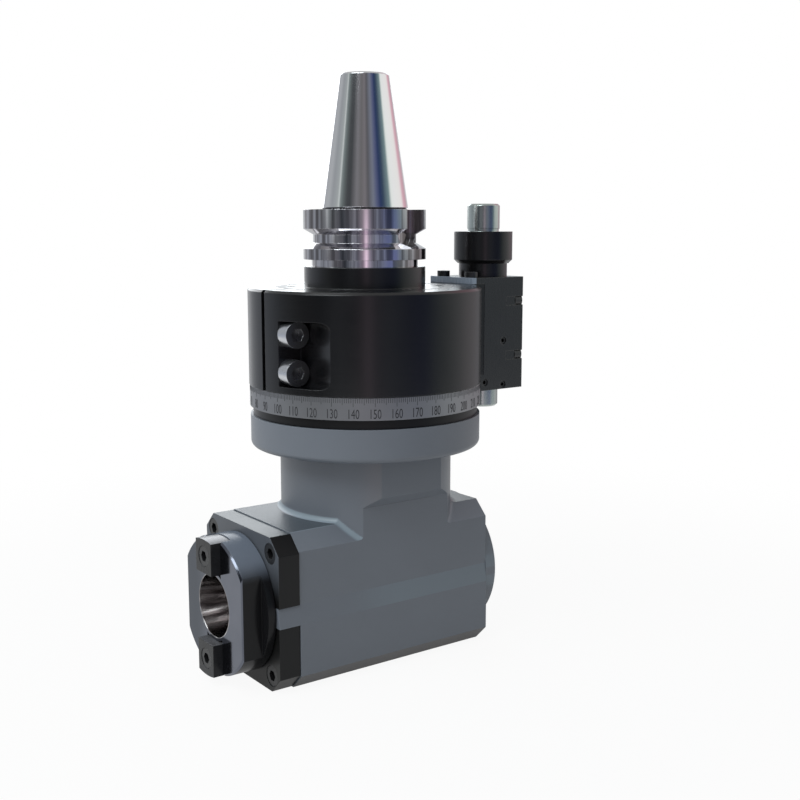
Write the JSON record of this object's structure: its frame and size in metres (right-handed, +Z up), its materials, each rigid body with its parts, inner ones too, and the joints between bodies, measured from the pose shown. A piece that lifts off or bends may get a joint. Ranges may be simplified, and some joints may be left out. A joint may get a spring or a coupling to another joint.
{
  "type": "right-angle milling head",
  "caption": "Right-angle milling head with a steep-taper shank on top, a stop ring with a spring-loaded pin, a graduated ring and a taper spindle in a swivelling body.",
  "frame": {"origin": "on the input spindle axis, in the flat underside of the head housing", "axes": "+Z up along the input axis towards the pull-stud thread, -X along the output spindle towards its nose, +X towards the stop pin"},
  "size_m": [0.1922, 0.121, 0.2994],
  "materials": {
    "grey_paint": "satin",
    "black_oxide": "satin",
    "satin_scale": "satin",
    "polished_steel": "polished",
    "ground_steel": "ground",
    "bearing_steel": "polished",
    "spring_steel": "satin",
    "black_screws": "satin",
    "seal_rubber": "matte"
  },
  "bodies": {
    "head": {"head_housing": "grey_paint", "upper_housing": "black_oxide", "housing_screws": "black_screws", "scale_ring": "satin_scale", "bearing_cover": "black_oxide", "cover_screws": "black_screws", "front_plate": "black_oxide", "plate_screws": "black_screws", "output_seal": "seal_rubber", "end_cap": "grey_paint", "end_cap_screws": "black_screws", "preload_washer": "spring_steel", "upper_bearing_outer_races": "bearing_steel", "lower_bearing_outer_race": "bearing_steel", "front_bearing_outer_races": "bearing_steel", "rear_bearing_outer_race": "bearing_steel", "lower_circlip": "spring_steel"},
    "input_spindle": {"input_arbor": "polished_steel", "upper_bearing_inner_races": "bearing_steel", "lower_bearing_inner_race": "bearing_steel", "upper_locknut": "black_oxide", "input_gear": "ground_steel", "input_gear_key": "ground_steel", "gear_draw_screw": "black_screws"},
    "output_spindle": {"output_spindle": "ground_steel", "drive_keys": "ground_steel", "drive_key_screws": "black_screws", "draw_bolt": "black_screws", "front_bearing_inner_races": "bearing_steel", "rear_bearing_inner_race": "bearing_steel", "gear_spacer": "ground_steel", "rear_locknut": "black_oxide", "spindle_locknut": "black_oxide", "output_gear": "ground_steel", "output_gear_key": "ground_steel"},
    "stop_ring": {"stop_ring": "black_oxide", "clamp_screws": "black_screws", "stop_block": "black_oxide", "block_top_screws": "black_screws", "block_rear_screws": "black_screws", "block_plugs": "black_screws", "guide_screw": "black_screws", "guide_bush": "black_oxide", "stop_spring": "spring_steel"},
    "stop_pin": {"stop_pin": "polished_steel", "stop_collar": "black_oxide", "collar_screw": "black_screws"}
  },
  "joints": [
    {"name": "input_spin", "type": "hinge", "parent": "head", "child": "input_spindle", "pos_m": [0, 0, 0.234], "axis": [0, 0, 1], "continuous": true},
    {"name": "output_spin", "type": "hinge", "parent": "head", "child": "output_spindle", "pos_m": [-0.091, 0, 0.039], "axis": [-1, 0, 0], "continuous": true},
    {"name": "stop_ring_turn", "type": "hinge", "parent": "head", "child": "stop_ring", "pos_m": [0, 0, 0.168], "axis": [0, 0, 1], "continuous": true},
    {"name": "stop_pin_press", "type": "slide", "parent": "stop_ring", "child": "stop_pin", "axis": [0, 0, -1], "range_m": [0, 0.007], "stiffness_N_per_m": 8000, "springref_m": -0.005, "deforming": ["stop_spring"]}
  ],
  "couplings": [
    {"joint": "output_spin", "follows": "input_spin", "ratio": -1}
  ]
}
